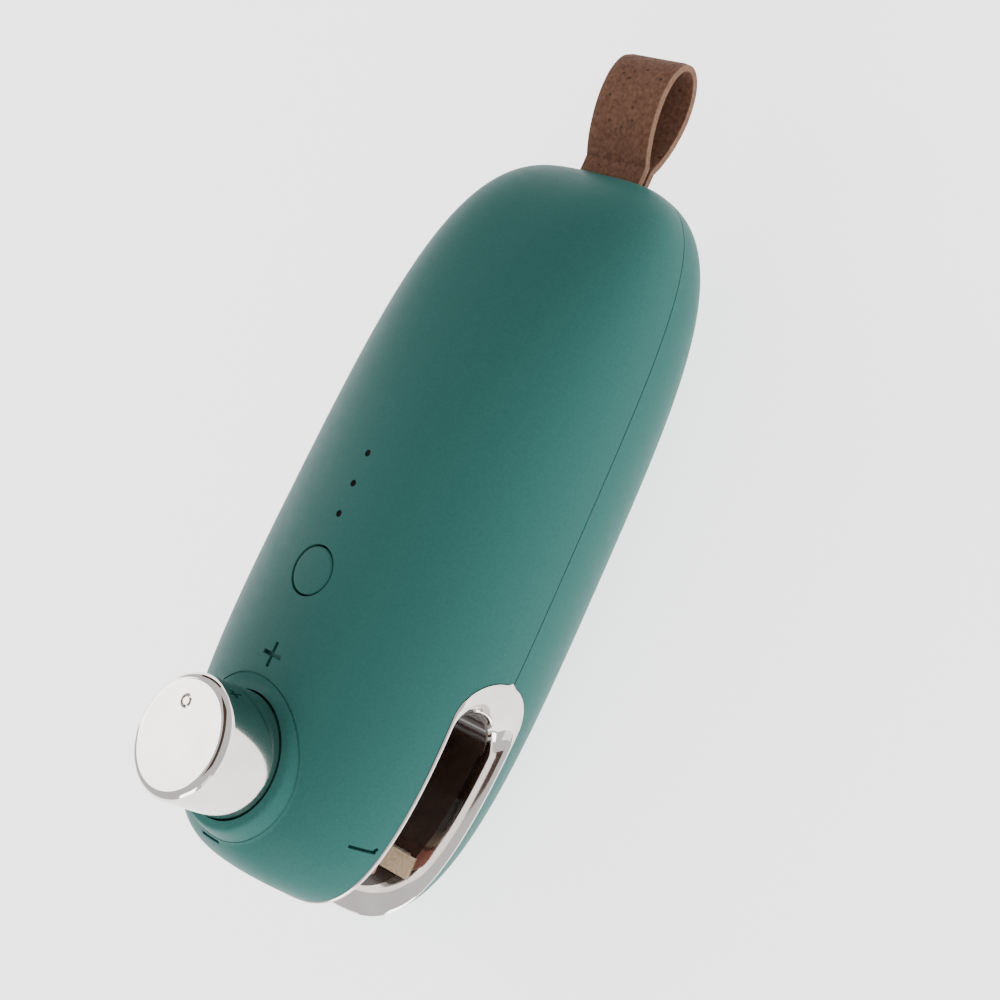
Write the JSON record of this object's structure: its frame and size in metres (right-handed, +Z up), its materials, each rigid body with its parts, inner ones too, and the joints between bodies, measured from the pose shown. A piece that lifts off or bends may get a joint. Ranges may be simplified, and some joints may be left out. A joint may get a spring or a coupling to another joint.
{
  "type": "handheld bag heat sealer",
  "caption": "Handheld bag heat sealer with a slot for the bag, a knob that presses a pad onto a heated strip, and a wrist strap.",
  "frame": {"origin": "on the underside of the flat rubber foot, below the middle of the body", "axes": "+Z up out of the knob, +Y towards the strap, +X towards one end of the bag slot"},
  "size_m": [0.0468, 0.1289, 0.0502],
  "materials": {
    "shell_green": "satin soft-touch",
    "chrome": "mirror plated",
    "jaw_brown": "gloss",
    "ceramic": "matt heat-proof bed",
    "nichrome": "rolled strip",
    "ptfe": "woven coated glass cloth",
    "brass": "plated",
    "wire_red": "insulation",
    "steel": "stamped",
    "silicone": "matt silicone",
    "white_plastic": "moulded",
    "black_plastic": "moulded",
    "board_green": "solder mask",
    "clear_plastic": "clear",
    "cell_blue": "shrink sleeve",
    "nickel": "satin nickel",
    "foot_rubber": "matt",
    "leather": "suede, two-tone"
  },
  "bodies": {
    "root": {"upper_shell": "shell_green", "lower_shell": "shell_green", "mouth_trim": "chrome", "upper_jaw": "jaw_brown", "lower_jaw": "jaw_brown", "heater_bed": "ceramic", "heater_ribbon": "nichrome", "ptfe_strip": "ptfe", "heater_terminals": "brass", "heater_leads": "wire_red", "guide_bush": "brass", "return_spring": "steel", "tact_switch": "black_plastic", "light_pipes": "clear_plastic", "status_leds": "clear_plastic", "main_board": "board_green", "board_chips": "black_plastic", "board_screws": "steel", "charge_board": "board_green", "usb_socket": "nickel", "battery_cell": "cell_blue", "battery_cradle": "black_plastic", "battery_tabs": "nickel", "battery_leads": "wire_red", "housing_screws": "steel", "base_pad": "foot_rubber", "strap": "leather", "strap_pin": "steel", "strap_anchor": "white_plastic"},
    "carriage": {"presser_plate": "steel", "presser_pad": "silicone", "presser_screw": "steel", "plunger_post": "white_plastic", "selector_body": "black_plastic"},
    "knob": {"selector_shaft": "steel", "knob_hub": "black_plastic", "knob_cap": "chrome"},
    "button": {"power_button": "shell_green", "switch_actuator": "black_plastic"}
  },
  "joints": [
    {"name": "knob_press", "type": "slide", "parent": "root", "child": "carriage", "axis": [0, 0, -1], "range_m": [0, 0.007], "stiffness_N_per_m": 600, "springref_m": -0.003, "deforming": ["return_spring"]},
    {"name": "knob_turn", "type": "hinge", "parent": "carriage", "child": "knob", "pos_m": [0, -0.0404, 0.04], "axis": [0, 0, 1], "range_deg": [-18, 160]},
    {"name": "button_press", "type": "slide", "parent": "root", "child": "button", "axis": [0, 0, -1], "range_m": [0, 0.0004], "stiffness_N_per_m": 1500, "springref_m": -0.0003}
  ]
}
